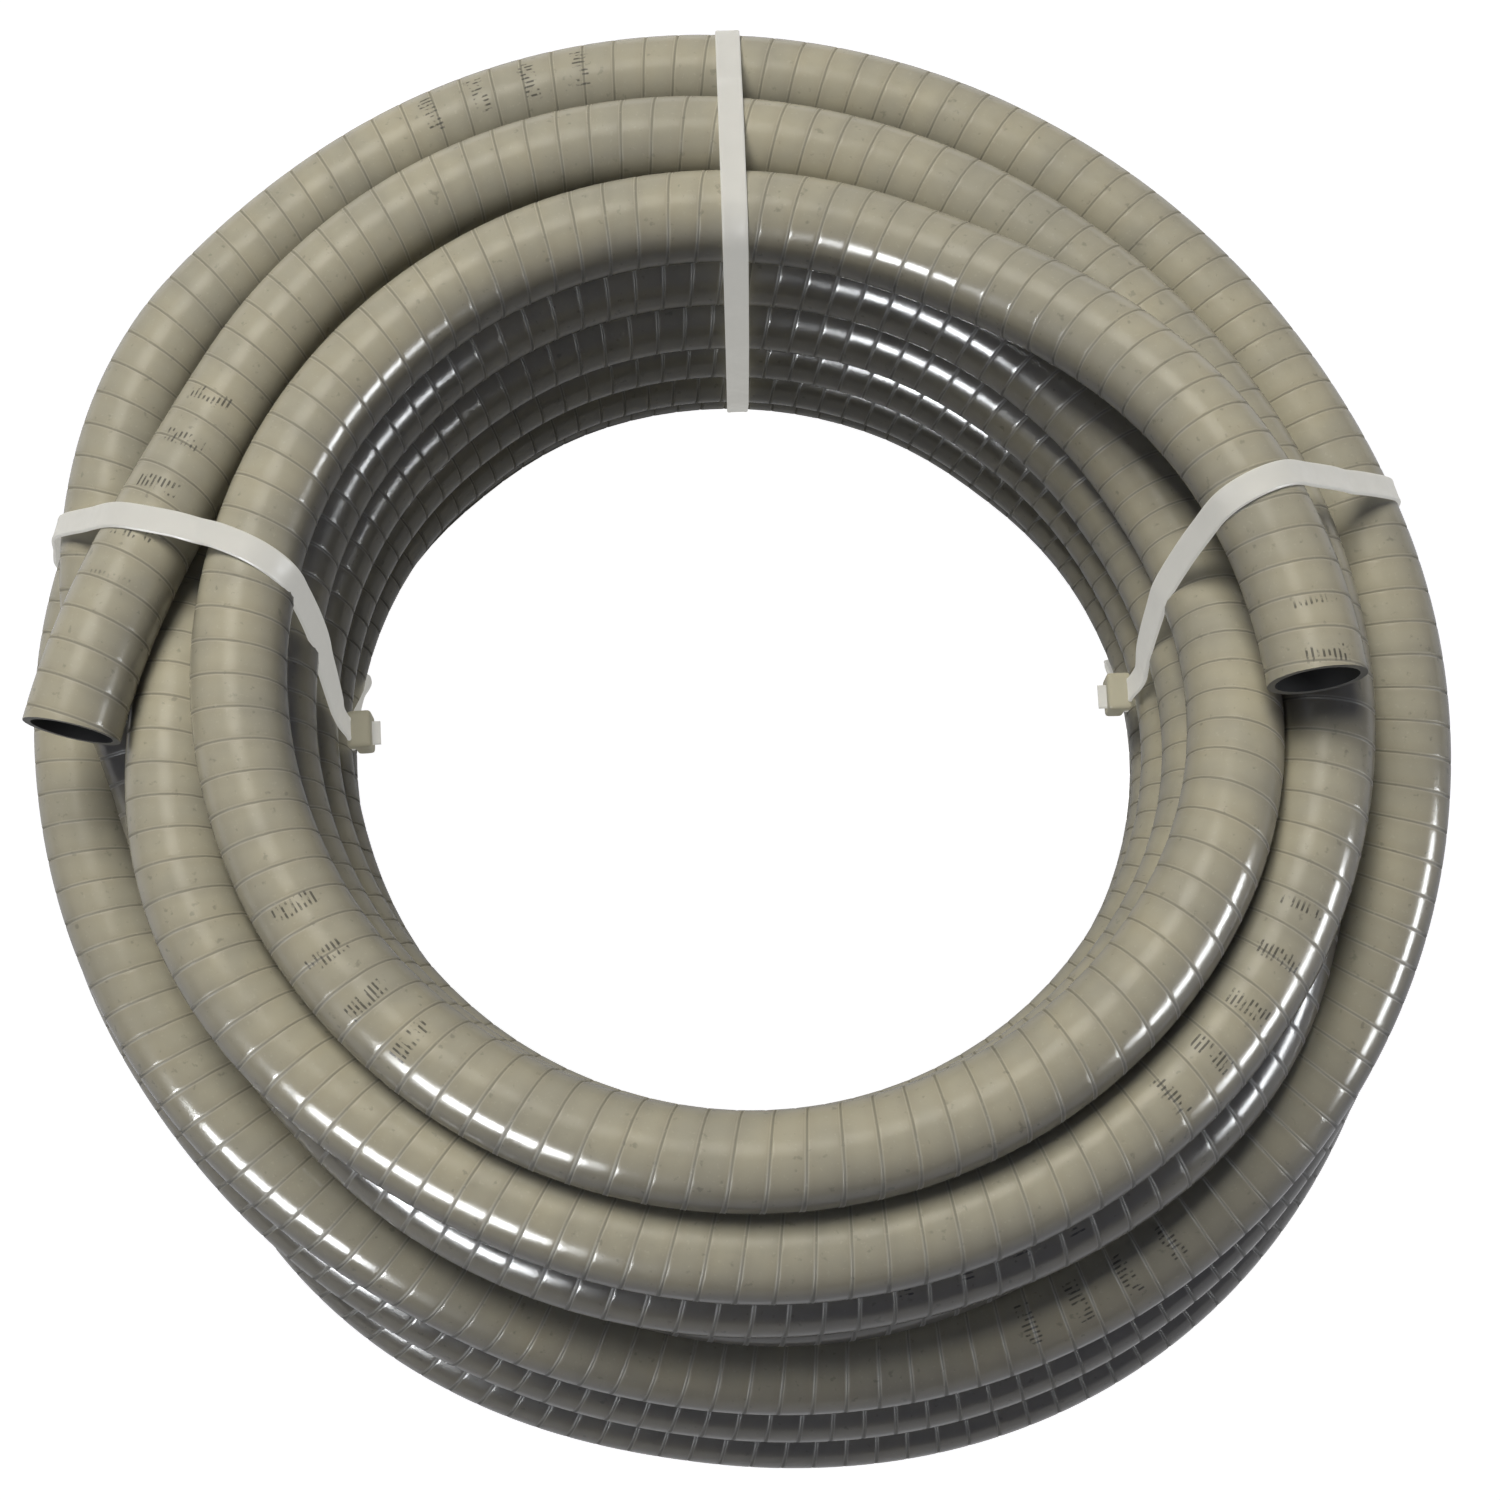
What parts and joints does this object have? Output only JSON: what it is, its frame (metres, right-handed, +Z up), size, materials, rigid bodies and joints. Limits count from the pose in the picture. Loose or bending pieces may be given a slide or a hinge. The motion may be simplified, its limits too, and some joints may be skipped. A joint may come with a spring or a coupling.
{
  "type": "hose_coil",
  "caption": "Coil of grey spiral-reinforced PVC drain hose with bare cut ends, bundled with nylon cable ties",
  "frame": {"origin": "centre of the bounding box on the surface that the coil rests on", "axes": "+Z up through the coil's hole, -Y towards the slumped side that both cut ends point at, +X towards the tie under the higher cut end"},
  "size_m": [0.4265, 0.453, 0.1854],
  "materials": {
    "hose_pvc": "satin, spiral-ribbed, slightly translucent grey",
    "tie_nylon": "natural nylon, slightly translucent, moulded"
  },
  "bodies": {
    "bundle": {"hose_coil": "hose_pvc", "hose_end_left": "hose_pvc", "hose_end_right": "hose_pvc", "tie_top_strap": "tie_nylon", "tie_top_head": "tie_nylon", "tie_left_strap": "tie_nylon", "tie_left_head": "tie_nylon", "tie_right_strap": "tie_nylon", "tie_right_head": "tie_nylon"},
    "top_pawl": {"tie_top_pawl": "tie_nylon"},
    "left_pawl": {"tie_left_pawl": "tie_nylon"},
    "right_pawl": {"tie_right_pawl": "tie_nylon"}
  },
  "joints": [
    {"name": "top_pawl_flex", "type": "hinge", "parent": "bundle", "child": "top_pawl", "pos_m": [-0.00175, 0.21869, 0.05949], "axis": [-0.9994, -0.0349, 0], "range_deg": [0, 10], "stiffness_Nm_per_rad": 0.02},
    {"name": "left_pawl_flex", "type": "hinge", "parent": "bundle", "child": "left_pawl", "pos_m": [-0.11793, 0.0037, 0.08012], "axis": [0.0786, -0.9969, -0.001], "range_deg": [0, 10], "stiffness_Nm_per_rad": 0.02},
    {"name": "right_pawl_flex", "type": "hinge", "parent": "bundle", "child": "right_pawl", "pos_m": [0.12273, 0.01608, 0.08015], "axis": [-0.0261, 0.9997, 0.0008], "range_deg": [0, 10], "stiffness_Nm_per_rad": 0.02}
  ]
}
